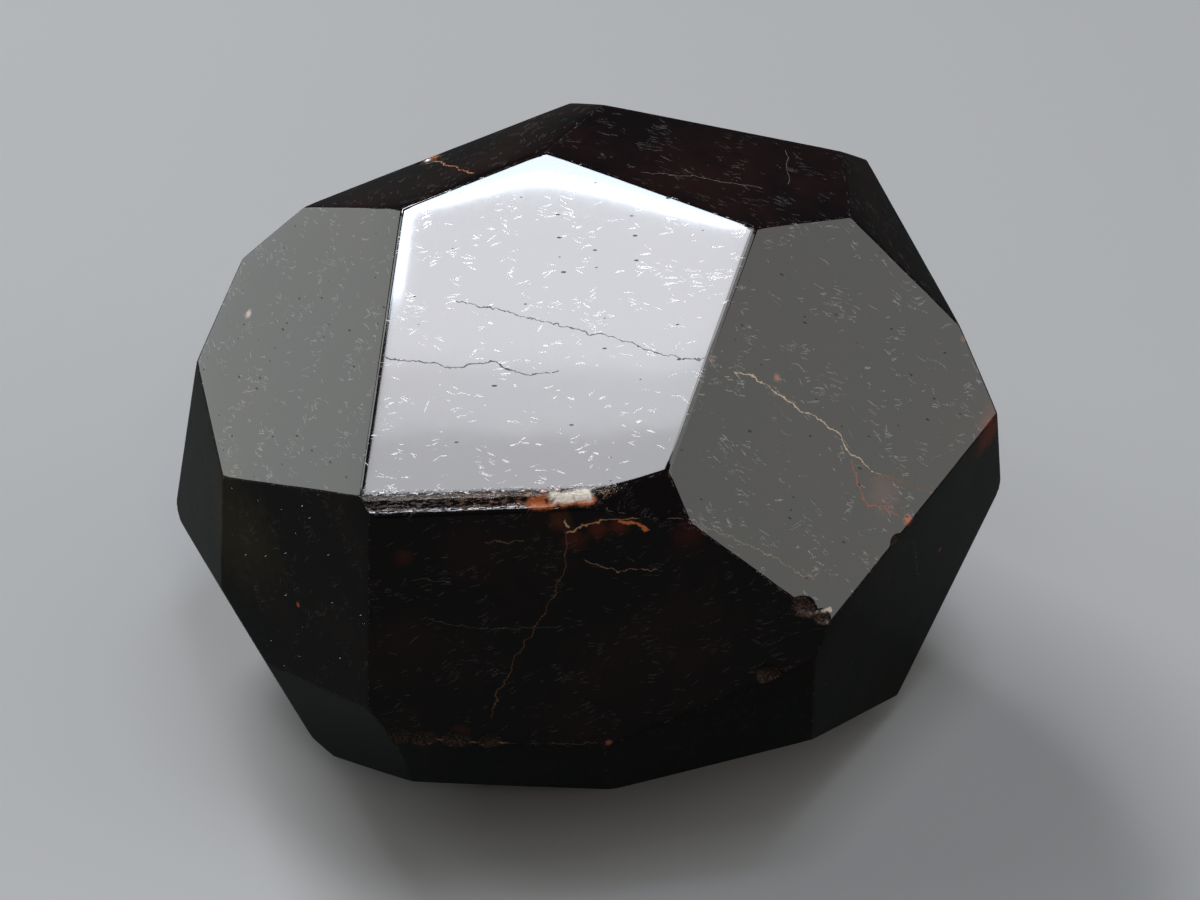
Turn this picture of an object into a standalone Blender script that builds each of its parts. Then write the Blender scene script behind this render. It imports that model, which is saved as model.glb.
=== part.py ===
"""A garnet crystal with polished faces: one stone, resting on the broad flat face it was ground to.

The crystal grew as an icositetrahedron, a ball of kite-shaped faces, and each face was then
polished by hand, so no two of them keep the same depth or quite the crystal's own angles. A face
is a plane. It has a heading, from +X towards +Y, a slope above level, and a depth, which is its
distance from a point in the middle of the stone. The stone is what all the planes enclose, with
the edges and corners worn round, and a few shell-shaped chips broken out along them.

Run with: blender --background --python part.py
"""

import itertools
import math

import bmesh
import bpy
import numpy as np
from mathutils import Matrix, Vector

MM = 0.001

# The point that every depth is measured from, in mm above the middle of the stone's footprint.
MIDDLE = np.array([-0.6, -1.93, 19.0])

# Radius in mm of the worn edges and corners.
EDGE_RADIUS = 0.9

# Outward normal and depth of each face: heading and slope in degrees, depth in mm.
FACES = {
    "top_front": (-81.0, 56.5, 21.3),
    "top_back": (6.5, 74.5, 22.8),
    "top_left": (137.0, 66.0, 21.7),
    "top_right": (1.5, 43.5, 25.2),
    "left_shoulder": (-156.5, 39.0, 22.8),
    "right_shoulder": (-46.5, 36.0, 21.5),
    "front": (-84.0, 5.5, 21.2),
    "left_flank": (-137.5, 6.0, 23.6),
    "right_flank": (-35.0, -9.0, 22.8),
    "left_end": (-164.0, 6.0, 23.5),
    "right_end": (17.5, 18.0, 24.4),
    "lower_front": (-87.5, -19.0, 22.2),
    "lower_left": (-130.0, -19.5, 23.7),
    "lower_right": (-73.5, -18.0, 21.9),
    "low_left_end": (-153.0, -18.5, 23.4),
    "back_crown": (73.0, 53.5, 21.5),
    "back_left_crown": (123.0, 43.5, 19.3),
    "left_crown": (137.0, 40.0, 21.0),
    "left_back": (163.5, 18.0, 23.0),
    "back_left": (125.0, 8.0, 21.6),
    "back": (94.0, -18.5, 22.9),
    "back_right": (45.5, -8.5, 22.6),
    "back_left_low": (129.0, -28.5, 22.4),
    "under_front": (-96.5, -53.5, 19.9),
    "under_right": (-69.5, -50.0, 20.5),
    "under_left": (-165.0, -50.0, 21.6),
    "under_back_right": (30.5, -30.0, 22.3),
    "under_back": (96.5, -52.0, 22.2),
    "base": (0.0, -90.0, 19.0),
    # A narrow worn ledge under the top front face, and the blunted corner at its right end.
    "ledge": (-82.5, 31.0, 23.2),
    "blunt_corner": (-75.5, 33.0, 23.1),
}

# Shell-shaped chips, each the mark of a ball: heading and slope of the ball's centre as seen from
# the middle in degrees, its distance from there in mm, and its radius in mm.
CHIPS = {
    "tip_chip": (-55.9, 10.2, 25.4, 1.6),
    "tip_nick": (-53.4, 8.0, 25.3, 1.0),
    "front_pit": (-60.7, -1.2, 24.1, 1.1),
    "flank_nick": (-36.0, 10.5, 24.9, 0.9),
    "brow_chip_1": (-112.8, -7.2, 25.8, 1.2),
    "brow_chip_2": (-109.4, -8.1, 25.4, 1.4),
    "brow_chip_3": (-105.3, -8.7, 24.8, 1.5),
    "brow_chip_4": (-101.2, -9.7, 24.0, 1.2),
    "shoulder_nick": (176.8, 46.3, 25.2, 1.0),
    "ridge_nick": (160.3, 65.8, 22.8, 1.0),
    "crown_nick": (84.6, 46.0, 22.9, 0.9),
    "back_chip": (65.0, 17.6, 27.9, 1.6),
    "back_nick": (70.0, -15.0, 26.1, 1.1),
    "left_back_chip": (160.0, -12.0, 27.7, 1.4),
    "under_left_nick": (158.5, -36.0, 25.8, 1.1),
}

# Three planes meet in a corner only if their normals span more than this volume.
LEAST_SPAN = 1e-6
# How far in mm a corner may stand outside a plane it lies on.
SLACK = 1e-6
# Angle in radians up to which neighbouring triangles are one flat face.
FLAT = math.radians(0.05)


def direction(heading, slope):
    """Unit vector that points along a heading and a slope, both in degrees."""
    heading, slope = math.radians(heading), math.radians(slope)
    level = math.cos(slope)
    return np.array([level * math.cos(heading), level * math.sin(heading), math.sin(slope)])


def face_planes(faces):
    """Normals and depths of the named faces as arrays."""
    normals = np.array([direction(heading, slope) for heading, slope, _ in faces.values()])
    depths = np.array([depth for _, _, depth in faces.values()])
    return normals, depths


def corners_of(normals, depths):
    """Each corner of the solid that the planes enclose, with the faces that meet there.

    A corner is where three planes cross without leaving the solid.
    """
    triples = np.array(list(itertools.combinations(range(len(normals)), 3)))
    triples = triples[np.abs(np.linalg.det(normals[triples])) > LEAST_SPAN]
    points = np.linalg.solve(normals[triples], depths[triples][..., None])[..., 0]
    inside = (points @ normals.T <= depths + SLACK).all(axis=1)
    return points[inside], triples[inside]


def worn_points(normals, depths, radius):
    """Points on the stone once its edges and corners are worn to a radius.

    The worn stone is a smaller one, with every face a radius deeper, swept by a ball of that
    radius. A corner of the smaller stone touches the worn surface along each of its faces'
    normals, half-way between two of them, and once more between all three.
    """
    points, triples = corners_of(normals, depths - radius)
    near = normals[triples]
    towards = [near[:, i] for i in range(3)]
    towards += [near[:, i] + near[:, (i + 1) % 3] for i in range(3)]
    towards.append(near.sum(axis=1))
    return np.concatenate(
        [points + radius * t / np.linalg.norm(t, axis=1, keepdims=True) for t in towards]
    )


def object_from(name, mesh_code):
    """New object whose mesh is what mesh_code leaves in an empty bmesh."""
    mesh = bpy.data.meshes.new(name)
    shape = bmesh.new()
    mesh_code(shape)
    shape.to_mesh(mesh)
    shape.free()
    made = bpy.data.objects.new(name, mesh)
    bpy.context.collection.objects.link(made)
    return made


def stone_code(points):
    """Mesh code for the convex stone around points, with each flat face in one piece."""

    def code(shape):
        for point in points:
            shape.verts.new(Vector(point) * MM)
        hull = bmesh.ops.convex_hull(shape, input=shape.verts)
        inner = [v for v in hull["geom_interior"] if isinstance(v, bmesh.types.BMVert)]
        bmesh.ops.delete(shape, geom=inner, context="VERTS")
        bmesh.ops.dissolve_limit(
            shape, angle_limit=FLAT, verts=shape.verts, edges=shape.edges
        )
        bmesh.ops.recalc_face_normals(shape, faces=shape.faces)

    return code


def chip_code(centre, radius):
    """Mesh code for the ball that a chip is the mark of."""

    def code(shape):
        bmesh.ops.create_icosphere(
            shape, subdivisions=3, radius=radius * MM, matrix=Matrix.Translation(Vector(centre) * MM)
        )

    return code


def garnet_material():
    """Almandine garnet, nearly black in the piece and red-brown where light gets through."""
    material = bpy.data.materials.new("almandine_garnet")
    material.use_nodes = True
    shader = material.node_tree.nodes["Principled BSDF"]
    shader.inputs["Base Color"].default_value = (0.030, 0.010, 0.008, 1.0)
    shader.inputs["Roughness"].default_value = 0.12
    shader.inputs["Metallic"].default_value = 0.0
    shader.inputs["IOR"].default_value = 1.79
    material.diffuse_color = (0.16, 0.05, 0.04, 1.0)
    return material


def build_crystal():
    """The stone, with its chips cut out of it."""
    normals, depths = face_planes(FACES)
    points = worn_points(normals, depths, EDGE_RADIUS) + MIDDLE
    crystal = object_from("garnet_crystal", stone_code(points))
    crystal.data.materials.append(garnet_material())
    for name, (heading, slope, distance, radius) in CHIPS.items():
        centre = MIDDLE + distance * direction(heading, slope)
        ball = object_from(name, chip_code(centre, radius))
        ball.hide_render = True
        ball.display_type = "WIRE"
        cut = crystal.modifiers.new(name, "BOOLEAN")
        cut.operation = "DIFFERENCE"
        cut.solver = "EXACT"
        cut.object = ball
    return crystal


def main():
    for old in list(bpy.data.objects):
        bpy.data.objects.remove(old, do_unlink=True)
    build_crystal()


main()
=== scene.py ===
"""Finishes the garnet crystal and sets it on a pale studio floor.

The crystal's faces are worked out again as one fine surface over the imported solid: each face is
slightly crowned, as hand lapping leaves it, the edges are worn round, the chips are broken out
with rippled floors, and the ledge below the big top face is rough.

Run with: blender --background --python scene.py
"""

import itertools
import math

import bpy
import numpy as np
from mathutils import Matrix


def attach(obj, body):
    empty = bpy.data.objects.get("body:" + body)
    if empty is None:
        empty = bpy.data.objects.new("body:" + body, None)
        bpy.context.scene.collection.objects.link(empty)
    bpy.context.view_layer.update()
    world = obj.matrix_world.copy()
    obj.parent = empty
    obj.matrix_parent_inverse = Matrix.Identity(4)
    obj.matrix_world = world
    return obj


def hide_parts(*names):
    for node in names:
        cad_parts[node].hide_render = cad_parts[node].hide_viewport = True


bl_info = {
    "name": "Garnet crystal",
    "version": (1, 0, 0),
    "blender": (4, 5, 0),
    "location": "View3D > Sidebar > Garnet",
    "description": "Builds a hand-polished garnet crystal and a plain studio around it",
    "category": "Add Mesh",
}

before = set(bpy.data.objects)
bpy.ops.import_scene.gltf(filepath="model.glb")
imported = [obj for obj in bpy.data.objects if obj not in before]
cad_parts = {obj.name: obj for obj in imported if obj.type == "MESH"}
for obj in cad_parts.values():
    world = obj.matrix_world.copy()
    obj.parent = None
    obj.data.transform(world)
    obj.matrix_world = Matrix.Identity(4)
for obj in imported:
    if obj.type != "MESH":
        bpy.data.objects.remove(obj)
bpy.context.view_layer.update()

NODE = "garnet_crystal"
MM = 0.001

# A point inside the stone, in mm. Face-on places below are measured from its foot on each face.
MIDDLE = np.array([-0.6, -1.93, 19.0])

# Faces of the crystal: the heading and slope of the outward normal and the way the face was last
# lapped, from level, all in degrees, and how scuffed the face is. How far out a face lies is
# read off the frame.
FACES = {
    "top_front": (-81.0, 56.5, -4.0, 1.0),
    "top_back": (6.5, 74.5, 70.0, 0.09),
    "top_left": (137.0, 66.0, 20.0, 0.09),
    "top_right": (1.5, 43.5, 35.0, 0.08),
    "left_shoulder": (-156.5, 39.0, 15.0, 0.21),
    "right_shoulder": (-46.5, 36.0, -45.0, 0.32),
    "front": (-84.0, 5.5, 12.0, 0.06),
    "left_flank": (-137.5, 6.0, 50.0, 0.06),
    "right_flank": (-35.0, -9.0, 75.0, 0.06),
    "left_end": (-164.0, 6.0, 30.0, 0.08),
    "right_end": (17.5, 18.0, -25.0, 0.12),
    "lower_front": (-87.5, -19.0, 5.0, 0.05),
    "lower_left": (-130.0, -19.5, -40.0, 0.05),
    "lower_right": (-73.5, -18.0, 60.0, 0.05),
    "low_left_end": (-153.0, -18.5, 10.0, 0.06),
    "back_crown": (73.0, 53.5, 0.0, 0.20),
    "back_left_crown": (123.0, 43.5, 40.0, 0.25),
    "left_crown": (137.0, 40.0, -35.0, 0.20),
    "left_back": (163.5, 18.0, 65.0, 0.12),
    "back_left": (125.0, 8.0, -10.0, 0.10),
    "back": (94.0, -18.5, 25.0, 0.08),
    "back_right": (45.5, -8.5, -55.0, 0.12),
    "back_left_low": (129.0, -28.5, 15.0, 0.08),
    "under_front": (-96.5, -53.5, 80.0, 0.10),
    "under_right": (-69.5, -50.0, -20.0, 0.10),
    "under_left": (-165.0, -50.0, 45.0, 0.10),
    "under_back_right": (30.5, -30.0, 5.0, 0.10),
    "under_back": (96.5, -52.0, -70.0, 0.10),
    "base": (0.0, -90.0, 30.0, 0.30),
    "ledge": (-82.5, 41.0, 0.0, 0.3),
    "blunt_corner": (-75.5, 33.0, 40.0, 0.05),
}

# Chips: heading and slope in degrees and distance in mm of a ball's centre from the middle of
# the stone, and the ball's radius in mm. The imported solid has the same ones.
CHIPS = {
    "tip_chip": (-55.9, 10.2, 25.4, 1.6),
    "tip_nick": (-53.4, 8.0, 25.3, 1.0),
    "front_pit": (-60.7, -1.2, 24.1, 1.1),
    "flank_nick": (-36.0, 10.5, 24.9, 0.9),
    "brow_chip_1": (-112.8, -7.2, 25.8, 1.2),
    "brow_chip_2": (-109.4, -8.1, 25.4, 1.4),
    "brow_chip_3": (-105.3, -8.7, 24.8, 1.5),
    "brow_chip_4": (-101.2, -9.7, 24.0, 1.2),
    "shoulder_nick": (176.8, 46.3, 25.2, 1.0),
    "ridge_nick": (160.3, 65.8, 22.8, 1.0),
    "crown_nick": (84.6, 46.0, 22.9, 0.9),
    "back_chip": (65.0, 17.6, 27.9, 1.6),
    "back_nick": (70.0, -15.0, 26.1, 1.1),
    "left_back_chip": (160.0, -12.0, 27.7, 1.4),
    "under_left_nick": (158.5, -36.0, 25.8, 1.1),
}

# Mesh steps in mm: along a plain edge, along an edge beside a chip and how far from the chip
# that reaches, and about how far the first ring inside a face is from its rim.
EDGE_STEP = 0.62
CHIP_STEP = 0.14
CHIP_REACH = 1.1
FIRST_RING = 0.035
# Rings in a face, how strongly they crowd to its rim, and the least ratio of ring widths.
RINGS = 18
CROWDING = 1.55
LEAST_RATIO = 1.05
# Places along an edge where the step is worked out, and the fewest steps in it.
EDGE_SAMPLES = 400
FEWEST_STEPS = 2
# The ledge is a woven patch: steps along it and across it.
LEDGE_STEPS = (200, 22)

# Wear. The edges' sharpness is one over the width in mm that the rounding takes. The crown is
# the share of a much softer rounding that lapping gives each face.
EDGE_SHARPNESS = 42.0
CROWN_SHARPNESS = 2.2
CROWN_SHARE = 0.10
# Depth and size in mm of the nibbles in an edge and the ripples in a chip. The lift raises the
# nibbles' noise, so that more than half of an edge has some.
NIBBLE = (0.04, 0.5)
NIBBLE_LIFT = 0.15
CHIP_RIPPLE = (0.015, 0.35)
# Depth and size in mm and seed of the ledge's hollows and of its grit.
LEDGE_RELIEF = ((0.16, 0.7, 17), (0.045, 0.22, 27))
# How far in mm below the ledge's plane its finish still shows, the share of the ledge's height
# where it starts, and the share over which it grows and its relief dies away at the top.
LEDGE_REACH = 0.12
LEDGE_FOOT = 0.1
LEDGE_FADE = 0.4
# The part of the ledge that glares: level place and radius in mm, and the relief it has lost.
LEDGE_GLARE = (-2.2, 1.5, 0.85)
# The crease under the ledge: depth, half-width and how far behind the front it fades, in mm.
CREASE = (0.07, 0.16, 0.5)

# Cells of noise before it repeats, and its seed.
NOISE_CELLS = 16
NOISE_SEED = 7
# How far in mm the lap marks of one face are shifted from those of the face before.
FACE_SHIFT = 61.7
# The least size of a divisor, and how far in mm a corner may lie outside a face.
LEAST_SPAN = 1e-6
SLACK = 1e-4

# Cracks and streaks, with painted glints: the colour each shows, its half-width in mm, and the
# places in mm that it runs through, level and upslope from the foot of the middle on the named
# face. Where a fracture shows orange to red-brown, that colour is painted glow of light coming back
# from it.
CRACKS_AND_GLINTS = {
    "top_hairline": ("2c2826", 0.018, "top_front",
                     [(-7.8, 2.7), (-4.0, 1.3), (-0.2, -0.1), (3.5, -1.7), (5.8, -2.2)]),
    "low_hairline": ("241f1e", 0.024, "top_front",
                     [(-12.3, -0.3), (-8.7, -1.2), (-6.2, -1.2), (-4.5, -2.1), (-2.7, -2.1)]),
    "shoulder_crack": ("e0c4a4", 0.03, "right_shoulder",
                       [(-1.5, 3.5), (-0.5, 2.7), (0.6, 1.3), (1.6, -0.2), (3.5, -2.6), (3.7, -4.1),
                        (4.4, -5.2), (4.9, -6.0)]),
    "shoulder_upper_branch": ("84603f", 0.04, "right_shoulder",
                              [(4.9, -6.0), (7.2, -8.1), (8.3, -9.0)]),
    "shoulder_lower_branch": ("a8653f", 0.035, "right_shoulder",
                              [(3.6, -4.5), (3.3, -7.0), (3.6, -7.5), (4.6, -8.1), (5.8, -9.7)]),
    "shoulder_row": ("948070", 0.026, "right_shoulder",
                     [(-8.0, -3.1), (-5.8, -5.2), (-3.5, -8.0), (-2.2, -9.4)]),
    "tip_rim": ("dcc8b8", 0.08, "right_shoulder", [(-5.0, -10.1), (-3.2, -11.1), (-2.1, -11.5)]),
    # The fan's orange lines are painted glow of light coming back from its fractures.
    "front_fan": ("c8946c", 0.03, "front", [(-2.2, 8.3), (-0.8, 8.9), (0.3, 9.1), (1.8, 9.1)]),
    "front_fan_hot": ("d87a40", 0.08, "front", [(0.8, 8.9), (1.8, 8.7), (2.3, 8.2)]),
    "front_fan_low": ("8a6a52", 0.02, "front", [(-1.3, 6.3), (0.6, 5.6), (3.0, 5.6)]),
    "front_dash": ("c8b49c", 0.05, "front", [(-2.3, 9.3), (-2.0, 8.8)]),
    "front_crack": ("5e3c28", 0.022, "front",
                    [(-2.3, 8.4), (-2.2, 6.4), (-2.8, 4.7), (-3.9, 2.2), (-5.3, -0.1), (-6.4, -2.6),
                     (-6.8, -4.2)]),
    "front_arc": ("4a463e", 0.014, "front", [(-10.0, 3.1), (-7.5, 2.2), (-4.2, 2.0), (-2.0, 1.9)]),
    "corner_line": ("a08468", 0.03, "blunt_corner", [(-0.6, -1.9), (0.5, -2.0), (1.4, -2.2)]),
    # A painted glint of orange light and a painted highlight, white, on the broken ledge.
    "ledge_ember": ("d87030", 0.20, "ledge", [(-4.6, -3.7), (-2.9, -3.7), (-1.2, -3.7)]),
    "ledge_painted_highlight": ("fff4e6", 0.22, "ledge", [(-3.2, -3.5), (-2.2, -3.45), (-1.4, -3.4)]),
    "front_streak": ("6e5648", 0.018, "front", [(-6.6, 8.1), (-4.5, 8.0)]),
    "front_streak_low": ("5e4a40", 0.016, "front", [(-10.7, 5.9), (-8.8, 5.7)]),
    "brow": ("a8643a", 0.06, "front", [(-12.5, -4.6), (-10.9, -5.3), (-9.2, -5.7), (-6.1, -6.2)]),
    "brow_line": ("5c4a40", 0.03, "front", [(-6.1, -6.2), (-3.0, -6.5), (-0.6, -6.7)]),
    "crown_crack": ("a2613c", 0.035, "top_left", [(3.2, 0.0), (4.6, 3.8), (5.9, 7.4)]),
    "top_streak": ("5c5a56", 0.018, "top_back", [(-2.8, 2.3), (-2.2, -1.4), (-2.2, -5.2)]),
    "top_crack": ("5a5650", 0.016, "top_back", [(2.9, -7.7), (-1.2, -7.2)]),
    "flank_streak": ("5e4c40", 0.018, "right_flank", [(2.6, 5.9), (5.5, 0.2)]),
    "back_hairline": ("6a5244", 0.02, "back_crown",
                      [(-6.0, 4.0), (-1.5, 1.0), (3.0, -0.5), (7.5, -4.0)]),
    "back_crack": ("7c4a33", 0.025, "back_right", [(-5.0, 5.5), (-1.0, 1.0), (0.5, -4.0)]),
}

# How far in mm a crack wanders off its line, and how many half-widths off it ends and is whole.
CRACK_BEND = 0.9
CRACK_RIM = (2.4, 0.8)

# Scratch patterns: how far each is turned from the lap, and a cell's length and width in mm.
SCRATCH_CELLS = [(0.0, (1.4, 0.13)), (0.4, (0.95, 0.12)), (-0.35, (0.8, 0.12))]
# How far in cells from its middle a scratch ends and is whole, and how strong it may be.
SCRATCH_RIM = (0.36, 0.24)
SCRATCH_STRENGTHS = (0.3, 1.0)
# How far in mm the scratches sway across the lap, and how many times the usual share of cells
# hold one outside a clump and inside.
SCRATCH_SWAY = 1.6
SCRATCH_CLUMPING = (0.4, 10.0)

# Pit pattern: a cell's length and width in mm, and the least and greatest radius in cells.
PIT_CELL = (2.1, 0.75)
PIT_RADII = (0.02, 0.075)

# Settings of a Map Range node that cuts smoothly. Its result is from 0 to 1 without a clamp.
SMOOTH_CUT = {"interpolation_type": "SMOOTHSTEP", "clamp": False}

# Noises: cells per mm, how many finer ones are added, and how strong those are.
RAGGED_NOISE = {"Scale": 1.4, "Detail": 4.0, "Roughness": 0.75}
CRACK_NOISE = {"Scale": 1.1, "Detail": 3.0, "Roughness": 0.6}
SWAY_NOISE = {"Scale": 0.35, "Detail": 1.0}
LAP_NOISE = {"Scale": 0.32, "Detail": 1.0}

# Ragged patches: size in mm, the noise where one starts and where it is whole, and how many
# finer noises its rim has.
PATCH_ROUGHNESS = 0.65
PATCHES = {
    "clouds": (7.0, 0.42, 0.72, 4.0),
    "edge_nibbles": (0.35, 0.52, 0.66, 2.0),
    "chip_sparks": (0.12, 0.50, 0.64, 2.0),
    "ledge_glitter": (0.13, 0.52, 0.60, 2.0),
    "whole_cracks": (0.8, 0.26, 0.42, 2.0),
    "scratch_clumps": (2.2, 0.50, 0.62, 2.0),
    "whole_scratches": (0.12, 0.36, 0.52, 1.0),
}
# How many times longer the ledge's grit and painted glints are than wide.
GLITTER_DRAWN = 3.0

# Colours of marked and broken stone and how strongly each shows, from the lowest up. The spark is
# pale broken stone on the chips with painted sparkle.
TONES = {
    "pit": ("0c0808", 0.7),
    "nibble": ("8d8178", 0.45),
    "ledge": ("140a09", 1.0),
    "chip": ("1c110f", 0.9),
    "spark": ("7a5848", 0.7),
}
# How worn an edge is where its nibbles start to show and where they show fully.
WORN_RANGE = (0.5, 0.95)

# Roughness where the stone isn't polished. That of a polished face varies between two shares of
# its own as the ragged noise goes through its range.
ROUGH = {"scratch": 0.22, "pit": 0.5, "ledge": 0.20, "chip": 0.3, "crack": 0.5}
POLISH_SHARES = (0.8, 1.25)
RAGGED_RANGE = (0.3, 0.7)

# Heights in mm: the lap's soft waves, the depth of a pit and the ledge's glittering grit.
LAP_WAVE = 0.004
PIT_DEPTH = 0.02
GRIT_HEIGHT = 0.03

# How far in radii a spot's rim is moved by the ragged noise, and where it ends and is whole.
SPOT_RAGGED = 1.2
SPOT_RIM = (1.6, 0.7)

# Stains below the surface, painted glow of light coming back through the stone and a painted
# reflection: colour, radius in mm, strength, face and place as above.
STAINS_AND_GLOWS = {
    "shoulder_stain": ("7a4a38", 1.7, 0.4, "right_shoulder", (4.9, -7.4)),
    # Painted glow of light coming back from the end of the shoulder's crack.
    "shoulder_ember": ("c8623a", 0.5, 0.8, "right_shoulder", (5.8, -9.5)),
    "shoulder_speck": ("b0704a", 0.35, 0.9, "right_shoulder", (1.1, 1.9)),
    "shoulder_speck_far": ("8c5a44", 0.3, 0.8, "right_shoulder", (15.3, -1.9)),
    "shoulder_speck_top": ("8c5a44", 0.3, 0.8, "right_shoulder", (-2.6, 4.7)),
    # The blushes, glows and ember that follow, down to the front pit's glow, are painted glow of
    # light coming back through the stone.
    "front_blush": ("5a2a1a", 0.8, 0.35, "front", (-11.3, 7.5)),
    "front_blush_wide": ("2a1210", 2.8, 0.5, "front", (-7.5, 7.6)),
    "front_fan_glow_left": ("5c2410", 1.0, 0.55, "front", (-1.7, 7.9)),
    "front_fan_glow": ("6a2a12", 0.9, 0.55, "front", (-0.4, 8.5)),
    "front_fan_glow_right": ("6a2812", 0.8, 0.6, "front", (0.8, 8.6)),
    "front_ember": ("6a3416", 0.9, 0.5, "front", (-2.5, 9.2)),
    "front_far_glow": ("3c1410", 1.3, 0.8, "front", (4.6, 7.7)),
    "brow_glow": ("4c2414", 0.8, 0.7, "front", (-8.6, -5.2)),
    "front_pit_glow": ("b08a74", 0.5, 0.9, "front", (9.2, -2.5)),
    "front_speck": ("9a5c48", 0.3, 0.9, "front", (0.1, -6.7)),
    "crown_speck": ("c07038", 0.55, 1.0, "top_left", (3.2, 0.6)),
    "left_shoulder_speck": ("c8a8a0", 0.42, 0.9, "left_shoulder", (-5.0, -1.8)),
    "left_flank_speck": ("c8703a", 0.22, 1.0, "left_flank", (2.3, 0.1)),
    # A painted reflection, olive-brown, over the left part of the left flank.
    "left_flank_painted_reflection": ("38301c", 5.5, 0.7, "left_flank", (-3.5, 2.0)),
    "right_flank_speck": ("b0623a", 0.3, 0.9, "right_flank", (7.9, 1.0)),
    # Painted glow of light coming back through the thin tip.
    "tip_glow": ("8a2f12", 2.4, 0.8, "right_flank", (10.6, 9.4)),
    "top_front_pit": ("1c1a1a", 0.5, 0.9, "top_front", (-3.3, -3.7)),
    # Painted glow of light coming back through the stone at the back.
    "back_blush": ("451b16", 4.5, 0.6, "back_left_crown", (3.0, -2.0)),
    "back_glow": ("6a2a18", 2.2, 0.6, "back_right", (-1.0, 6.0)),
}

# Painted glints where the ledge is broken: colour, radius in mm, strength and place on the ledge.
GLINTS = {
    "grey_end": ("8a807c", 3.2, 0.8, (-11.4, -3.0)),
    "rose_middle": ("9a7262", 3.0, 0.8, (-7.2, -3.4)),
    "bronze_middle": ("c0702e", 2.2, 0.9, (-3.8, -3.6)),
    "bronze_end": ("b4784a", 1.2, 0.9, (0.0, -3.6)),
}

# Soft lamps: middle in mm, tilt from facing down and turn from facing +Y in degrees, width and
# height in mm, radiance in W/(sr m2), and colour.
LAMPS = {
    "overhead_bank": ((64, -119, 470), (0, 0), (118, 122), 5.2, "f8f9ff"),
    "overhead_middle": ((64, -94, 471), (0, 0), (118, 72), 1.7, "f8f9ff"),
    "overhead_back": ((64, -85, 472), (0, 0), (118, 54), 1.5, "f8f9ff"),
    "overhead_right": ((150, -106, 470), (0, 0), (54, 100), 3.2, "f8f9ff"),
    "overhead_glare": ((60, -44, 473), (0, 0), (128, 44), 14.0, "e2efff"),
    "overhead_glare_left": ((-8, -76, 474), (0, 0), (50, 40), 14.0, "e2efff"),
    "key": ((-257, 306, 486), (-48, 38), (260, 200), 18.0, "fbfbff"),
    "front_fill": ((-78, -443, 556), (40, -10), (400, 300), 1.3, "fffaf2"),
    "ledge_glint": ((95, -375, 370), (46, 15), (50, 36), 24.0, "fff0e0"),
    "left_high": ((-404, 25, 436), (45, -95), (180, 420), 2.3, "f4faf6"),
    "right_high": ((357, -150, 456), (42, 68), (180, 440), 1.5, "f8f8f4"),
    "left_panel": ((-470, 265, 80), (85, -120), (420, 150), 1.5, "f4faf6"),
    "right_panel": ((520, -60, 175), (73, 83), (340, 240), 1.15, "f6f6f0"),
}
# The surroundings as the camera sees them, and as the crystal and the floor do.
STUDIO_PALE = "a0a2a4"
STUDIO_DIM = "2c2e30"
# The floor's half-width in mm, and its finish.
FLOOR_REACH = 1500.0
FLOOR_ROUGHNESS = 0.85
FLOOR_SPECULAR = 0.2

# Camera: lens, sensor width and place in mm, degrees down, and the nearest it sees in mm.
LENS = 80.5
SENSOR = 36.0
CAMERA_PLACE = (1.23, -137.0, 124.8)
CAMERA_DOWN = 38.0
CAMERA_NEAREST = 10.0


def linear(hex_colour):
    """Scene-linear red, green and blue of an sRGB hex colour."""
    shares = np.array([int(hex_colour[i : i + 2], 16) for i in (0, 2, 4)]) / 255
    curved = ((shares + 0.055) / 1.055) ** 2.4
    return tuple(float(share) for share in np.where(shares <= 0.04045, shares / 12.92, curved))


def face_axes(heading, slope):
    """Outward normal, level direction and upslope direction of a face, as unit vectors."""
    heading, slope = math.radians(heading), math.radians(slope)
    east, north = math.cos(heading), math.sin(heading)
    out = (math.cos(slope) * east, math.cos(slope) * north, math.sin(slope))
    level = (-north, east, 0.0)
    return np.array(out), np.array(level), np.cross(out, level)


def unit(vectors):
    """The vectors scaled to length one."""
    return vectors / np.linalg.norm(vectors, axis=-1, keepdims=True)


def smooth(t):
    """The rise 3t^2 - 2t^3 of a share held to 0..1."""
    t = np.clip(t, 0, 1)
    return t**2 * (3 - 2 * t)


def value_noise(points, size, seed=NOISE_SEED):
    """Smooth noise from -1 to 1: random values on a lattice with cells of the given size, mixed
    along each axis by the fade 6t^5 - 15t^4 + 10t^3.
    """
    lattice = np.random.default_rng(seed).uniform(-1, 1, (NOISE_CELLS,) * 3)
    cell = np.floor(points / size)
    t = points / size - cell
    fade = t**3 * (t * (t * 6 - 15) + 10)
    cell = cell.astype(int)
    total = np.zeros(len(points))
    for corner in itertools.product((0, 1), repeat=3):
        weight = np.prod(np.where(corner, fade, 1 - fade), axis=1)
        total += weight * lattice[tuple(((cell + corner) % NOISE_CELLS).T)]
    return total


def rough_noise(points, size, seed=NOISE_SEED):
    """Three octaves of value noise, each half the size and half the height of the one before."""
    octaves = (value_noise(points, size / 2**i, seed + i) / 2**i for i in range(3))
    return sum(octaves) / (1 + 1 / 2 + 1 / 4)


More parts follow.
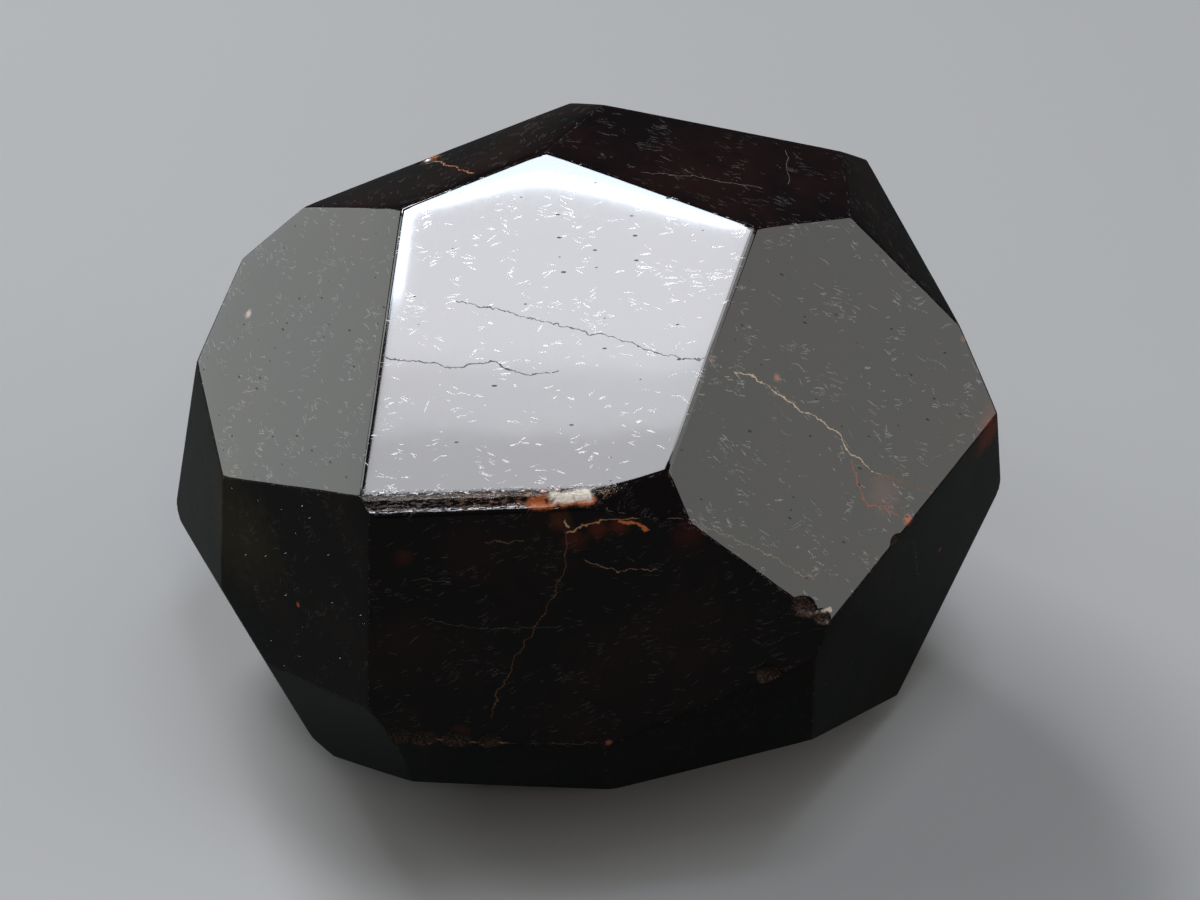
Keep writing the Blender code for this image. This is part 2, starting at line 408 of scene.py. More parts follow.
class Stone:
    """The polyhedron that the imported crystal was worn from, in mm from its middle."""

    def __init__(self, solid):
        points = np.empty(len(solid.data.vertices) * 3)
        solid.data.vertices.foreach_get("co", points)
        points = points.reshape(-1, 3) / MM - MIDDLE
        self.low, self.high = points.min(axis=0), points.max(axis=0)
        axes = [face_axes(heading, slope) for heading, slope, _, _ in FACES.values()]
        self.normals, self.levels, self.upslopes = (np.array(kind) for kind in zip(*axes))
        self.laps = np.radians([lap for _, _, lap, _ in FACES.values()])
        self.scuffs = np.array([scuffs for _, _, _, scuffs in FACES.values()])
        # A face lies as far out as the solid reaches along the face's normal.
        self.depths = (points @ self.normals.T).max(axis=0)
        self.corners, self.meeting = self.find_corners()

    def find_corners(self):
        """Points where three faces cross without leaving the solid, and which faces those are."""
        triples = np.array(list(itertools.combinations(range(len(self.normals)), 3)))
        triples = triples[np.abs(np.linalg.det(self.normals[triples])) > LEAST_SPAN]
        depths = self.depths[triples][..., None]
        points = np.linalg.solve(self.normals[triples], depths)[..., 0]
        inside = (points @ self.normals.T <= self.depths + SLACK).all(axis=1)
        return points[inside], triples[inside]

    def outline(self, face):
        """Numbers of a face's corners, anticlockwise as seen from outside."""
        own = np.flatnonzero((self.meeting == face).any(axis=1))
        spread = self.corners[own] - self.corners[own].mean(axis=0)
        turns = np.arctan2(spread @ self.upslopes[face], spread @ self.levels[face])
        return own[np.argsort(turns)]

    def place(self, name, spot):
        """Point in mm in the object's frame, from level and upslope distances on a named face."""
        face = list(FACES).index(name)
        across, up = spot
        foot = self.normals[face] * self.depths[face]
        return MIDDLE + foot + across * self.levels[face] + up * self.upslopes[face]


def chip_balls():
    """Centres and radii in mm of the balls that the chips are the marks of."""
    centres = np.array([face_axes(h, s)[0] * distance for h, s, distance, _ in CHIPS.values()])
    return centres, np.array([radius for _, _, _, radius in CHIPS.values()])


def edge_line(start, end, steps=None):
    """Points from one corner up to the next, closer together beside a chip.

    The number of steps up to a point is the integral of one over the step wanted there. Given a
    number of steps, it makes them even.
    """
    shares = np.linspace(0, 1, EDGE_SAMPLES)
    line = start + shares[:, None] * (end - start)
    length = np.linalg.norm(end - start)
    centres, radii = chip_balls()
    gaps = np.linalg.norm(line[:, None] - centres, axis=2) - radii
    near = np.exp(-((np.clip(gaps, 0, None).min(axis=1) / CHIP_REACH) ** 2))
    density = (1 - near) / EDGE_STEP + near / CHIP_STEP
    if steps:
        density = np.ones_like(density)
    counted = np.concatenate([[0], np.cumsum((density[1:] + density[:-1]) / 2)])
    count = steps or max(FEWEST_STEPS, math.ceil(counted[-1] * length / (EDGE_SAMPLES - 1)))
    at = np.interp(np.arange(count) / count * counted[-1], counted, shares)
    return start + at[:, None] * (end - start)


def ring_shares(inner_radius):
    """How far in each ring of a face lies, from 0 at the rim to 1 at its centre.

    The share is (e^ct - 1) / (e^c - 1) at the even steps t. The crowding c goes with the log of
    how many times wider than FIRST_RING an even ring would be.
    """
    crowding = CROWDING * math.log(max(inner_radius / RINGS / FIRST_RING, LEAST_RATIO))
    steps = np.arange(RINGS + 1) / RINGS
    return np.expm1(crowding * steps) / math.expm1(crowding)


class Weave:
    """Collects the points and faces of the flat polyhedron's mesh."""

    def __init__(self, stone):
        self.stone = stone
        self.points = [stone.corners]
        self.count = len(stone.corners)
        self.edges = {}
        self.quads = []
        self.triangles = []
        self.quad_faces = []
        self.triangle_faces = []

    def add_points(self, points):
        """Adds points and gives their numbers."""
        numbers = np.arange(self.count, self.count + len(points))
        self.points.append(points)
        self.count += len(points)
        return numbers

    def edge(self, start, end, steps=None):
        """Point numbers from a corner up to the next, the same ones for both faces."""
        key = (min(start, end), max(start, end))
        if key not in self.edges:
            ends = self.stone.corners[list(key)]
            inner = edge_line(*ends, steps)[1:]
            self.edges[key] = np.concatenate([[key[0]], self.add_points(inner), [key[1]]])
        line = self.edges[key]
        return line[:-1] if start == key[0] else line[:0:-1]

    def add_quads(self, face, rows):
        """Quads between neighbouring rows of point numbers."""
        a, b = rows[:-1], rows[1:]
        quads = np.stack([a[:, :-1], a[:, 1:], b[:, 1:], b[:, :-1]], axis=-1).reshape(-1, 4)
        self.quads.append(quads)
        self.quad_faces.append(np.full(len(quads), face))

    def fan(self, face):
        """A face as rings round its centre. Each ring is the rim drawn in towards the centre."""
        outline = self.stone.outline(face)
        rim = np.concatenate([self.edge(a, b) for a, b in zip(outline, np.roll(outline, -1))])
        points = np.concatenate(self.points)[rim]
        corners = self.stone.corners[outline]
        centre = corners.mean(axis=0)
        sides = np.roll(corners, -1, axis=0) - corners
        heights = np.linalg.norm(np.cross(unit(sides), corners - centre), axis=1)
        rows = [rim]
        for share in ring_shares(heights.min())[1:-1]:
            rows.append(self.add_points(points + share * (centre - points)))
        rows = np.array(rows)
        self.add_quads(face, np.concatenate([rows, rows[:, :1]], axis=1))
        last = rows[-1]
        hub = np.full_like(last, self.add_points(centre[None])[0])
        self.triangles.append(np.stack([last, np.roll(last, -1), hub], axis=-1))
        self.triangle_faces.append(np.full(len(last), face))

    def patch(self, face, steps):
        """A four-sided face as a grid: each point is the mix of its two opposite pairs of sides,
        less the mix of the four corners.
        """
        outline = self.stone.outline(face)
        corners = self.stone.corners[outline]
        if np.linalg.norm(corners[1] - corners[0]) < np.linalg.norm(corners[2] - corners[1]):
            outline = np.roll(outline, -1)
        a, b, c, d = outline
        along, across = steps
        low = np.append(self.edge(a, b, along), b)
        right = np.append(self.edge(b, c, across), c)
        high = np.append(self.edge(c, d, along), d)[::-1]
        left = np.append(self.edge(d, a, across), a)[::-1]
        points = np.concatenate(self.points)
        u = np.linspace(0, 1, along + 1)[None, :, None]
        v = np.linspace(0, 1, across + 1)[:, None, None]
        sides = (1 - v) * points[low] + v * points[high]
        sides = sides + (1 - u) * points[left][:, None] + u * points[right][:, None]
        ends = (1 - v) * ((1 - u) * points[a] + u * points[b])
        ends = ends + v * ((1 - u) * points[d] + u * points[c])
        rows = np.empty((across + 1, along + 1), dtype=int)
        rows[0], rows[-1], rows[:, 0], rows[:, -1] = low, high, left, right
        inner = (sides - ends)[1:-1, 1:-1].reshape(-1, 3)
        rows[1:-1, 1:-1] = self.add_points(inner).reshape(across - 1, along - 1)
        self.add_quads(face, rows)


def softest(stone, points, sharpness):
    """How deep a rounding of this sharpness lies below each point, and its outward gradient.

    The rounded surface is where log(sum of e^(k g)) / k is zero, with g the signed distances to
    all faces and k the sharpness. Away from the edges that is the face itself.
    """
    gaps = points @ stone.normals.T - stone.depths
    weights = np.exp(sharpness * gaps)
    total = weights.sum(axis=1)
    return np.log(total) / sharpness, weights @ stone.normals / total[:, None]


def wear(stone, points):
    """Moves the flat polyhedron's points to the worn surface.

    Gives the points, and from 0 to 1 how near each is to a worn edge, the ledge and a chip.
    """
    crown, crown_out = softest(stone, points, CROWN_SHARPNESS)
    depth, outward = softest(stone, points, EDGE_SHARPNESS)
    edge = np.clip(depth * EDGE_SHARPNESS / math.log(2), 0, 1)
    names = list(FACES)
    ledge, front, top = (names.index(name) for name in ("ledge", "front", "top_front"))
    gaps = points @ stone.normals.T - stone.depths
    height = gaps[:, front] / np.minimum(gaps[:, front] + gaps[:, top], -LEAST_SPAN)
    on_ledge = smooth(1 + gaps[:, ledge] / LEDGE_REACH) * smooth((height - LEDGE_FOOT) / LEDGE_FADE)
    glare_at, glare_reach, calm = LEDGE_GLARE
    glare = np.exp(-(((points @ stone.levels[ledge] - glare_at) / glare_reach) ** 4))
    relief = on_ledge * smooth((1 - height) / LEDGE_FADE) * (1 - calm * glare)
    crease_depth, crease_width, crease_reach = CREASE
    crease = np.exp(-(((gaps[:, ledge] - gaps[:, front]) / crease_width) ** 2))
    crease *= np.exp(gaps[:, front] / crease_reach)

    drop = depth / (outward**2).sum(axis=1)
    drop += edge**2 * np.clip(rough_noise(points, NIBBLE[1]) + NIBBLE_LIFT, 0, 1) * NIBBLE[0]
    for deepest, size, seed in LEDGE_RELIEF:
        drop += relief * deepest * (1 + rough_noise(points, size, seed)) / 2
    drop += crease * crease_depth
    moved = points - drop[:, None] * outward - (CROWN_SHARE * crown)[:, None] * crown_out

    # The ray from the middle meets a ball of radius p about c at b - sqrt(p^2 - c.c + b^2),
    # where b is the ray's unit direction times c. What lies beyond that has been broken out.
    out, reach = unit(moved), np.linalg.norm(moved, axis=1)
    deepest, wavelength = CHIP_RIPPLE
    broken = np.zeros(len(points))
    for centre, radius in zip(*chip_balls()):
        b = out @ centre
        half = radius**2 - centre @ centre + b**2
        floor = b - np.sqrt(np.clip(half, 0, None))
        hit = (half > 0) & (b > 0) & (floor < reach)
        far = np.linalg.norm(moved - centre, axis=1)
        ripple = deepest * np.sin(2 * np.pi * far / wavelength)
        ripple = ripple + deepest * rough_noise(moved, wavelength)
        floor = np.minimum(floor + ripple, reach)
        broken = np.where(hit, 1.0, broken)
        reach = np.where(hit, floor, reach)
    # The solid's own corners are worn a little further back, so nothing may pass its box.
    inside = np.clip(out * reach[:, None], stone.low, stone.high)
    return inside, edge, on_ledge, broken


def stone_mesh(stone):
    """The crystal's mesh, with the attributes that its finish reads.

    worn_edge, ledge and chip run from 0 to 1 at each point. lap holds, at each face's corners,
    the place in mm along and across the way that face was lapped, shifted from face to face so
    that no two show the same marks. scuffs holds how scuffed the face is.
    """
    weave = Weave(stone)
    ledge = list(FACES).index("ledge")
    weave.patch(ledge, LEDGE_STEPS)
    for face in range(len(FACES)):
        if face != ledge:
            weave.fan(face)
    flat = np.concatenate(weave.points)
    worn, edge, on_ledge, broken = wear(stone, flat)

    quads, triangles = np.concatenate(weave.quads), np.concatenate(weave.triangles)
    loops = np.concatenate([quads.ravel(), triangles.ravel()])
    sizes = np.concatenate([np.full(len(quads), 4), np.full(len(triangles), 3)])
    starts = np.concatenate([[0], np.cumsum(sizes)[:-1]])
    mesh = bpy.data.meshes.new(NODE + "_polished")
    mesh.vertices.add(len(worn))
    mesh.vertices.foreach_set("co", ((worn + MIDDLE) * MM).ravel())
    mesh.loops.add(len(loops))
    mesh.loops.foreach_set("vertex_index", loops)
    mesh.polygons.add(len(sizes))
    mesh.polygons.foreach_set("loop_start", starts)
    mesh.update(calc_edges=True)
    mesh.shade_smooth()

    for name, values in (("worn_edge", edge), ("ledge", on_ledge), ("chip", broken)):
        mesh.attributes.new(name, "FLOAT", "POINT").data.foreach_set("value", values)
    owner = np.repeat(np.concatenate(weave.quad_faces + weave.triangle_faces), sizes)
    turn = stone.laps[owner]
    across = (flat[loops] * stone.levels[owner]).sum(axis=1)
    up = (flat[loops] * stone.upslopes[owner]).sum(axis=1)
    along = across * np.cos(turn) + up * np.sin(turn) + owner * FACE_SHIFT
    aside = up * np.cos(turn) - across * np.sin(turn)
    lap = np.stack([along, aside, np.zeros(len(loops))], axis=1)
    mesh.attributes.new("lap", "FLOAT_VECTOR", "CORNER").data.foreach_set("vector", lap.ravel())
    mesh.attributes.new("scuffs", "FLOAT", "CORNER").data.foreach_set("value", stone.scuffs[owner])
    if mesh.validate():
        raise RuntimeError("the crystal's mesh has broken faces")
    return mesh


def feed(tree, socket, value):
    """Gives an input a value, or links a socket or a node's first output to it."""
    if isinstance(value, bpy.types.Node):
        value = next(output for output in value.outputs if output.enabled)
    if isinstance(value, bpy.types.NodeSocket):
        tree.links.new(value, socket)
    else:
        socket.default_value = value


def add(tree, kind, inputs=None, **settings):
    """Adds a node with its settings and links. Inputs go by name or number."""
    node = tree.nodes.new(kind)
    for name, value in settings.items():
        setattr(node, name, value)
    for key, value in (inputs or {}).items():
        named = (socket for socket in node.inputs if socket.name == key and socket.enabled)
        feed(tree, next(named) if isinstance(key, str) else node.inputs[key], value)
    return node


def patches(tree, place, name, dimensions="3D"):
    """Share from 0 to 1 of ragged patches, which are noise smoothly cut."""
    size, start, whole, detail = PATCHES[name]
    noise = add(
        tree,
        "ShaderNodeTexNoise",
        {"Vector": place, "Scale": 1 / size, "Detail": detail, "Roughness": PATCH_ROUGHNESS},
        noise_dimensions=dimensions,
    )
    given = {"Value": noise, "From Min": start, "From Max": whole}
    return add(tree, "ShaderNodeMapRange", given, **SMOOTH_CUT)


def together(tree, *shares):
    """Share where all of these shares hold at once, which is their product."""
    made = shares[0]
    for share in shares[1:]:
        made = add(tree, "ShaderNodeMath", {0: made, 1: share}, operation="MULTIPLY")
    return made


def laid_over(tree, base, layers, kind):
    """Colours or numbers laid over a base one after another, each by its share."""
    for share, over in layers:
        over = (*over, 1.0) if isinstance(over, tuple) else over
        base = add(tree, "ShaderNodeMix", {"Factor": share, "A": base, "B": over}, data_type=kind)
    return base


def soft_spot(tree, place, ragged, centre, radius):
    """Share from 0 to 1 of a spot, its rim moved in and out by a ragged noise."""
    gap = add(tree, "ShaderNodeVectorMath", {0: place, 1: centre}, operation="DISTANCE")
    given = {0: ragged, 1: SPOT_RAGGED * radius, 2: gap}
    moved = add(tree, "ShaderNodeMath", given, operation="MULTIPLY_ADD")
    end, whole = SPOT_RIM
    given = {"Value": moved, "From Min": end * radius, "From Max": whole * radius}
    return add(tree, "ShaderNodeMapRange", given, **SMOOTH_CUT)


def segment_group():
    """Node group: distance in mm from a place to a straight segment.

    The nearest point is start + t span, with t = (place - start).span / span.span held to 0..1.
    """
    group = bpy.data.node_groups.new("distance_to_segment", "ShaderNodeTree")
    for name in ("Place", "Start", "Span"):
        group.interface.new_socket(name, in_out="INPUT", socket_type="NodeSocketVector")
    group.interface.new_socket("Distance", in_out="OUTPUT", socket_type="NodeSocketFloat")
    given = add(group, "NodeGroupInput").outputs
    place, start, span = (given[name] for name in ("Place", "Start", "Span"))
    away = add(group, "ShaderNodeVectorMath", {0: place, 1: start}, operation="SUBTRACT")
    dots = [
        add(group, "ShaderNodeVectorMath", {0: side, 1: span}, operation="DOT_PRODUCT")
        for side in (away, span)
    ]
    t = add(group, "ShaderNodeMath", {0: dots[0], 1: dots[1]}, operation="DIVIDE")
    t = add(group, "ShaderNodeMath", {0: t, 1: 0.0}, operation="MAXIMUM")
    t = add(group, "ShaderNodeMath", {0: t, 1: 1.0}, operation="MINIMUM")
    nearest = add(group, "ShaderNodeVectorMath", {0: span, "Scale": t}, operation="SCALE")
    gap = add(group, "ShaderNodeVectorMath", {0: away, 1: nearest}, operation="DISTANCE")
    add(group, "NodeGroupOutput", {"Distance": gap})
    return group


def crack_share(tree, group, place, points, width):
    """Share from 0 to 1 of a thin line through points, of a half-width in mm."""
    nearest = None
    for start, end in itertools.pairwise(points):
        given = {"Place": place, "Start": start, "Span": end - start}
        stretch = add(tree, "ShaderNodeGroup", given, node_tree=group)
        if nearest is None:
            nearest = stretch
        else:
            nearest = add(tree, "ShaderNodeMath", {0: nearest, 1: stretch}, operation="MINIMUM")
    end, whole = CRACK_RIM
    given = {"Value": nearest, "From Min": end * width, "From Max": whole * width}
    return add(tree, "ShaderNodeMapRange", given, **SMOOTH_CUT)


def drawn_cells(tree, lap, cell, turn=0.0):
    """Voronoi cells of a length and width in mm, turned by an angle from the lap.

    Gives the cells and the random draws that each cell makes.
    """
    given = {"Vector": lap, "Rotation": (0.0, 0.0, turn), "Scale": (*cell, 1.0)}
    drawn = add(tree, "ShaderNodeMapping", given, vector_type="TEXTURE")
    given = {"Vector": drawn, "Scale": 1.0}
    cells = add(tree, "ShaderNodeTexVoronoi", given, voronoi_dimensions="2D")
    return cells, add(tree, "ShaderNodeSeparateColor", {0: cells.outputs["Color"]})


def dashes(tree, lap, turn, cell, wanted):
    """Share from 0 to 1 of short scratches, turned by an angle from the lap.

    The wanted share of drawn-out cells hold one each, and their strengths differ.
    """
    cells, draw = drawn_cells(tree, lap, cell, turn)
    end, whole = SCRATCH_RIM
    given = {"Value": cells.outputs["Distance"], "From Min": end, "From Max": whole}
    inside = add(tree, "ShaderNodeMapRange", given, **SMOOTH_CUT)
    chosen = add(tree, "ShaderNodeMath", {0: draw, 1: wanted}, operation="LESS_THAN")
    weakest, strongest = SCRATCH_STRENGTHS
    given = {"Value": draw.outputs["Green"], "To Min": weakest, "To Max": strongest}
    return together(tree, inside, chosen, add(tree, "ShaderNodeMapRange", given))


def lay_spots(tree, colour, place, ragged, spots):
    """Lays soft spots over a colour. Each has a share it is held to, a colour, a middle and a
    radius.
    """
    for held, hexed, middle, radius in spots:
        share = together(tree, soft_spot(tree, place, ragged, middle, radius), held)
        colour = laid_over(tree, colour, [(share, linear(hexed))], "RGBA")
    return colour


def crack_and_glint_lines(tree, place, stone):
    """Share from 0 to 1 of all cracks and painted glints, and the colour that they show there.

    They are thin lines, bent within their face by noise of about 1 mm, and broken where another
    noise is low. The orange ones are painted glow, and those on the ledge a painted glint and a
    painted highlight.
    """
    noise = add(tree, "ShaderNodeTexNoise", {"Vector": place, **CRACK_NOISE}).outputs["Color"]
    middle = (0.5, 0.5, 0.5)
    centred = add(tree, "ShaderNodeVectorMath", {0: noise, 1: middle}, operation="SUBTRACT")
    bend = add(tree, "ShaderNodeVectorMath", {0: centred, "Scale": CRACK_BEND}, operation="SCALE")
    bent = add(tree, "ShaderNodeVectorMath", {0: place, 1: bend}, operation="ADD")
    whole = patches(tree, place, "whole_cracks")
    group = segment_group()
    cracks_and_glints = 0.0
    colour = (0.0, 0.0, 0.0, 1.0)
    for hexed, width, face, spots in CRACKS_AND_GLINTS.values():
        points = [stone.place(face, spot) for spot in spots]
        outward = stone.normals[list(FACES).index(face)]
        lifted = add(tree, "ShaderNodeVectorMath", {0: bend, 1: outward}, operation="PROJECT")
        bent_flat = add(tree, "ShaderNodeVectorMath", {0: bent, 1: lifted}, operation="SUBTRACT")
        line = crack_share(tree, group, bent_flat, points, width)
        share = together(tree, line, whole)
        colour = laid_over(tree, colour, [(share, linear(hexed))], "RGBA")
        cracks_and_glints = add(tree, "ShaderNodeMath", {0: cracks_and_glints, 1: share}, operation="MAXIMUM")
    return cracks_and_glints, colour


def scratch_marks(tree, lap, scuffs, density):
    """Share from 0 to 1 of scratches 0.5 to 0.8 mm long, in clumps, most of them along the lap.

    Real ones are about 0.03 mm wide. They are drawn twice as wide or more, or they wouldn't show.
    """
    sway = add(tree, "ShaderNodeTexNoise", {"Vector": lap, **SWAY_NOISE}, noise_dimensions="2D")
    given = {0: sway, 1: (0.0, SCRATCH_SWAY, 0.0), 2: lap}
    swayed = add(tree, "ShaderNodeVectorMath", given, operation="MULTIPLY_ADD")
    clumps = patches(tree, lap, "scratch_clumps", "2D")
    outside, inside = SCRATCH_CLUMPING
    given = {"Value": clumps, "To Min": outside * density, "To Max": inside * density}
    wanted = add(tree, "ShaderNodeMapRange", given)
    whole = patches(tree, lap, "whole_scratches", "2D")
    marks = 0.0
    for turn, cell in SCRATCH_CELLS:
        share = dashes(tree, swayed, turn, cell, wanted)
        marks = add(tree, "ShaderNodeMath", {0: marks, 1: share}, operation="MAXIMUM")
    return together(tree, marks, whole, scuffs)


def pit_marks(tree, lap, density):
    """Share from 0 to 1 of pits 0.03 to 0.11 mm wide and nearly three times as long."""
    cells, draw = drawn_cells(tree, lap, PIT_CELL)
    least, greatest = PIT_RADII
    given = {"Value": draw.outputs["Green"], "To Min": least, "To Max": greatest}
    radius = add(tree, "ShaderNodeMapRange", given)
    given = {0: cells.outputs["Distance"], 1: radius}
    inside = add(tree, "ShaderNodeMath", given, operation="LESS_THAN")
    kept = add(tree, "ShaderNodeMath", {0: draw, 1: density}, operation="LESS_THAN")
    return together(tree, inside, kept)


def garnet_finish(stone, look):
    """Almandine garnet, lapped and polished by hand.

    It mirrors strongly, with an IOR of 1.79, from a body that is all but black. The red-brown to
    orange where light comes back from inclusions and healed fractures is painted glow in the base
    colour, as is the glow at the tip, and a patch on the left flank is a painted reflection.
    Lapping has left short pale scratches, small dark pits and softly uneven faces. The ledge and
    the chips are broken, not polished; their grit and ripples are real, and their glints are
    painted.
    """
    material = bpy.data.materials.new("almandine_garnet_hand_polished")
    material.use_nodes = True
    tree = material.node_tree
    shader = tree.nodes["Principled BSDF"]
    shader.inputs["IOR"].default_value = look.ior
    shader.inputs["Metallic"].default_value = 0.0

    given = {0: add(tree, "ShaderNodeTexCoord").outputs["Object"], "Scale": 1 / MM}
    place = add(tree, "ShaderNodeVectorMath", given, operation="SCALE")
    lap = add(tree, "ShaderNodeAttribute", attribute_name="lap").outputs["Vector"]
    scuffs, edge, ledge, chip = (
        add(tree, "ShaderNodeAttribute", attribute_name=name).outputs["Fac"]
        for name in ("scuffs", "worn_edge", "ledge", "chip")
    )
    ragged = add(tree, "ShaderNodeTexNoise", {"Vector": place, **RAGGED_NOISE})
    marks = scratch_marks(tree, lap, scuffs, look.scratches)
    pits = pit_marks(tree, lap, look.pits)

    # Clouds of inclusions in the near-black body, and over them spots of stain, painted glow and a
    # painted reflection.
    clouds = patches(tree, place, "clouds")
    colour = laid_over(tree, (*look.body, 1.0), [(clouds, look.cloud[:])], "RGBA")
    stains_and_glows = [
        (held, hexed, stone.place(face, spot), radius)
        for hexed, radius, held, face, spot in STAINS_AND_GLOWS.values()
    ]
    colour = lay_spots(tree, colour, place, ragged, stains_and_glows)

    # What lapping, wear and breaking have left, each laid over the last. The sparks on the chips
    # are pale broken specks with painted sparkle.
    start, whole = WORN_RANGE
    worn = add(tree, "ShaderNodeMapRange", {"Value": edge, "From Min": start, "From Max": whole})
    marked = {
        "pit": (pits,),
        "nibble": (patches(tree, place, "edge_nibbles"), worn),
        "ledge": (ledge,),
        "chip": (chip,),
        "spark": (chip, patches(tree, place, "chip_sparks")),
    }
    colour = laid_over(tree, colour, [(marks, look.scratch[:])], "RGBA")
    for name, (hexed, strength) in TONES.items():
        share = together(tree, *marked[name], strength)
        colour = laid_over(tree, colour, [(share, linear(hexed))], "RGBA")

    # The broken ledge's grit, in streaks along the lap, with painted glints laid over it.
    given = {"Vector": lap, "Scale": (GLITTER_DRAWN, 1.0, 1.0)}
    streaked = add(tree, "ShaderNodeMapping", given, vector_type="TEXTURE")
    grit_and_glints = together(tree, patches(tree, streaked, "ledge_glitter", "2D"), ledge)
    glints = [
        (together(tree, grit_and_glints, strength), hexed, stone.place("ledge", spot), radius)
        for hexed, radius, strength, spot in GLINTS.values()
    ]
    colour = lay_spots(tree, colour, place, ragged, glints)
    # Cracks go over everything: where a fracture shows orange it is painted glow, and on the ledge
    # there are a painted glint and a painted highlight.
    cracks_and_glints, crack_and_glint_colour = crack_and_glint_lines(tree, place, stone)
    colour = laid_over(tree, colour, [(cracks_and_glints, crack_and_glint_colour)], "RGBA")
    feed(tree, shader.inputs["Base Color"], colour)

    # A hand polish, patchy over about a millimetre, and matt in the marks and where broken.
    low, high = RAGGED_RANGE
    least, greatest = (look.polish * share for share in POLISH_SHARES)
    given = {"From Min": low, "From Max": high, "To Min": least, "To Max": greatest}
    patchy = add(tree, "ShaderNodeMapRange", {"Value": ragged, **given})
    matt = {"scratch": marks, "pit": pits, "ledge": ledge, "chip": chip, "crack": cracks_and_glints}
    layers = [(matt[name], roughness) for name, roughness in ROUGH.items()]
    feed(tree, shader.inputs["Roughness"], laid_over(tree, patchy, layers, "FLOAT"))

    # Heights in mm: the lap's soft waves, with the pits cut in and grit on the ledge.
    wave = add(tree, "ShaderNodeTexNoise", {"Vector": place, **LAP_NOISE})
    height = together(tree, wave, LAP_WAVE)
    for share, rise in ((pits, -PIT_DEPTH), (grit_and_glints, GRIT_HEIGHT)):
        given = {0: share, 1: rise, 2: height}
        height = add(tree, "ShaderNodeMath", given, operation="MULTIPLY_ADD")
    bump = add(tree, "ShaderNodeBump", {"Strength": 1.0, "Distance": MM, "Height": height})
    feed(tree, shader.inputs["Normal"], bump)
    return material


def floor_finish(look):
    """Plain matt paper, pale grey. Mirrors see it as a dark table, so that the crystal's lower
    faces are as dark as they are on one.
    """
    material = bpy.data.materials.new("studio_floor_paper")
    material.use_nodes = True
    tree = material.node_tree
    shader = tree.nodes["Principled BSDF"]
    shader.inputs["Roughness"].default_value = FLOOR_ROUGHNESS
    shader.inputs["Specular IOR Level"].default_value = FLOOR_SPECULAR
    direct = add(tree, "ShaderNodeLightPath").outputs["Is Camera Ray"]
    colour = laid_over(tree, (*look.mirrored_floor, 1.0), [(direct, look.floor[:])], "RGBA")
    feed(tree, shader.inputs["Base Color"], colour)
    return material


def floor_mesh(reach):
    """A flat square at height zero, from its half-width in mm."""
    side = reach * MM
    corners = [(-side, -side, 0.0), (side, -side, 0.0), (side, side, 0.0), (-side, side, 0.0)]
    mesh = bpy.data.meshes.new("studio_floor")
    mesh.from_pydata(corners, [], [(0, 1, 2, 3)])
    return mesh


def linked_object(name, data):
    """New object in the scene's collection."""
    made = bpy.data.objects.new(name, data)
    bpy.context.scene.collection.objects.link(made)
    return made


def soft_lamp(name, place, turns, size, radiance, hexed):
    """A rectangular lamp. A matt one of area A and radiance L gives off pi A L watts."""
    lamp = bpy.data.lights.new(name, "AREA")
    lamp.shape = "RECTANGLE"
    lamp.size, lamp.size_y = (MM * side for side in size)
    lamp.energy = math.pi * lamp.size * lamp.size_y * radiance
    lamp.color = linear(hexed)
    tilt, turn = (math.radians(angle) for angle in turns)
    hung = linked_object(name, lamp)
    hung.location = [MM * value for value in place]
    hung.rotation_euler = (tilt, 0.0, turn)


class GarnetLook(bpy.types.PropertyGroup):
    """What a user would change about the crystal and the studio."""

    body: bpy.props.FloatVectorProperty(
        name="Body", description="Colour of the stone's dark body", subtype="COLOR", min=0, max=1,
        default=linear("0d0708"),
    )
    cloud: bpy.props.FloatVectorProperty(
        name="Clouds", description="Colour of the inclusions in the body", subtype="COLOR", min=0,
        max=1, default=linear("1e0e0d"),
    )
    scratch: bpy.props.FloatVectorProperty(
        name="Scratches", description="Colour of scratched stone", subtype="COLOR", min=0, max=1,
        default=linear("e6e4e2"),
    )
    floor: bpy.props.FloatVectorProperty(
        name="Floor", description="Colour of the floor", subtype="COLOR", min=0, max=1,
        default=linear("a6a7a8"),
    )
    mirrored_floor: bpy.props.FloatVectorProperty(
        name="Mirrored floor", description="Colour that mirrors see the floor in", subtype="COLOR",
        min=0, max=1, default=linear("2c302e"),
    )
    ior: bpy.props.FloatProperty(
        name="IOR", description="Index of refraction of the garnet", default=1.79, min=1.7, max=1.9
    )
    polish: bpy.props.FloatProperty(
        name="Polish", description="Roughness of the polished faces", default=0.06, min=0, max=1,
        subtype="FACTOR",
    )
    scratches: bpy.props.FloatProperty(
        name="Scratched share", description="Share of the scratch pattern's cells that hold one",
        default=0.018, min=0, max=1, subtype="FACTOR",
    )
    pits: bpy.props.FloatProperty(
        name="Pitted share", description="Share of the pit pattern's cells that hold one",
        default=0.16, min=0, max=1, subtype="FACTOR",
    )


class GARNET_OT_crystal(bpy.types.Operator):
    """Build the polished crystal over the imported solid"""

    bl_idname = "garnet.crystal"
    bl_label = "Garnet Crystal"

    def execute(self, context):
        stone = Stone(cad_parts[NODE])
        crystal = linked_object(NODE + "_polished", stone_mesh(stone))
        crystal.data.materials.append(garnet_finish(stone, context.scene.garnet_look))
        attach(crystal, "root")
        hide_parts(NODE)
        return {"FINISHED"}


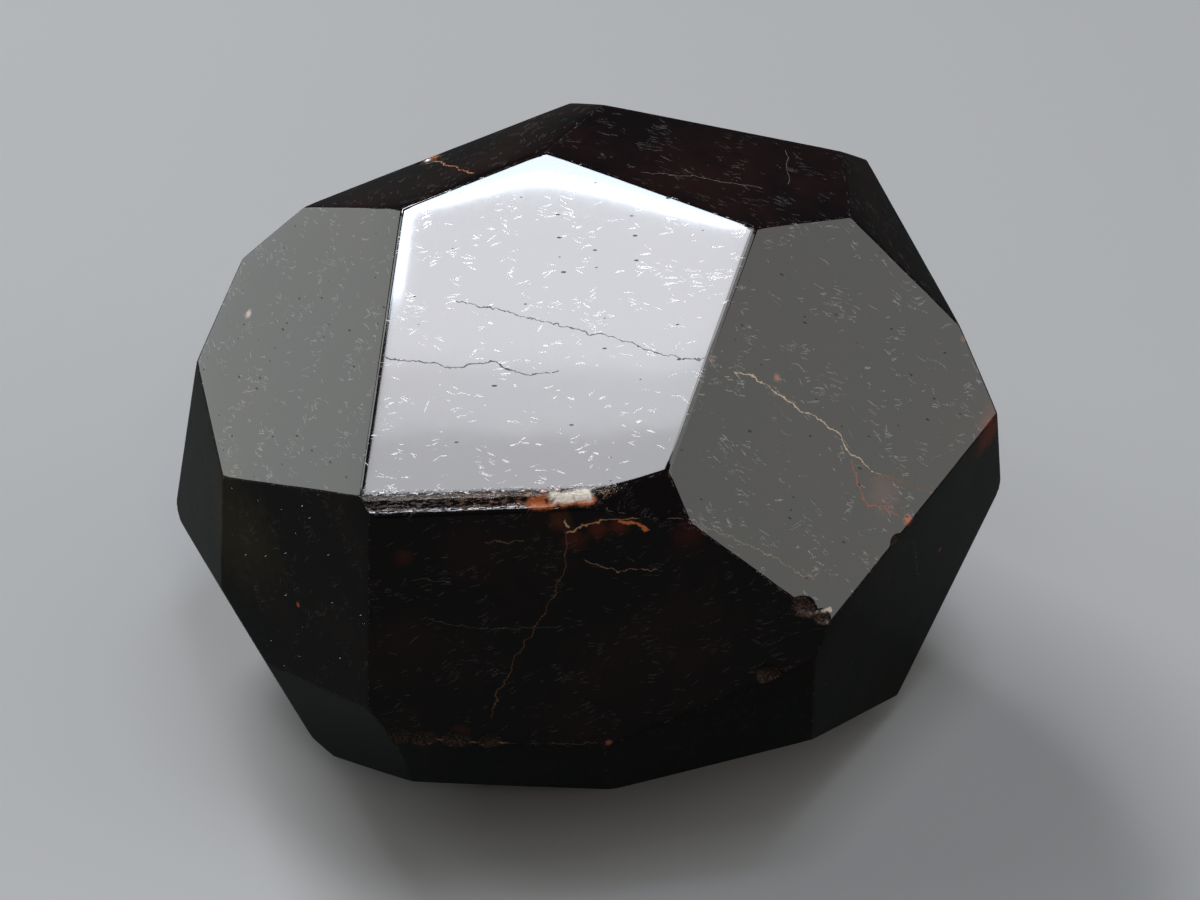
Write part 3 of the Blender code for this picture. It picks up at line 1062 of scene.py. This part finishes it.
class GARNET_OT_studio(bpy.types.Operator):
    """Lay the pale floor, hang the soft lamps and set up the camera"""

    bl_idname = "garnet.studio"
    bl_label = "Studio"

    def execute(self, context):
        floor = linked_object("studio_floor", floor_mesh(FLOOR_REACH))
        floor.data.materials.append(floor_finish(context.scene.garnet_look))
        for name, lamp in LAMPS.items():
            soft_lamp(name, *lamp)

        world = bpy.data.worlds.new("studio")
        world.use_nodes = True
        tree = world.node_tree
        direct = add(tree, "ShaderNodeLightPath").outputs["Is Camera Ray"]
        sky = laid_over(tree, (*linear(STUDIO_DIM), 1.0), [(direct, linear(STUDIO_PALE))], "RGBA")
        feed(tree, tree.nodes["Background"].inputs["Color"], sky)
        context.scene.world = world
        context.scene.view_settings.view_transform = "Standard"

        camera = bpy.data.cameras.new("camera")
        camera.lens = LENS
        camera.sensor_width = SENSOR
        camera.clip_start = CAMERA_NEAREST * MM
        viewer = linked_object("camera", camera)
        viewer.location = [MM * value for value in CAMERA_PLACE]
        viewer.rotation_euler = (math.radians(90 - CAMERA_DOWN), 0.0, 0.0)
        context.scene.camera = viewer
        return {"FINISHED"}


class GARNET_PT_panel(bpy.types.Panel):
    """Buttons that build the crystal and its studio"""

    bl_idname = "GARNET_PT_panel"
    bl_label = "Garnet crystal"
    bl_space_type = "VIEW_3D"
    bl_region_type = "UI"
    bl_category = "Garnet"

    def draw(self, context):
        for name in GarnetLook.__annotations__:
            self.layout.prop(context.scene.garnet_look, name)
        self.layout.operator(GARNET_OT_crystal.bl_idname)
        self.layout.operator(GARNET_OT_studio.bl_idname)


CLASSES = (GarnetLook, GARNET_OT_crystal, GARNET_OT_studio, GARNET_PT_panel)


def register():
    for made in CLASSES:
        bpy.utils.register_class(made)
    bpy.types.Scene.garnet_look = bpy.props.PointerProperty(type=GarnetLook)


def unregister():
    del bpy.types.Scene.garnet_look
    for made in reversed(CLASSES):
        bpy.utils.unregister_class(made)


def main():
    """Builds the crystal and its studio."""
    register()
    bpy.ops.garnet.crystal()
    bpy.ops.garnet.studio()


if __name__ == "__main__":
    main()
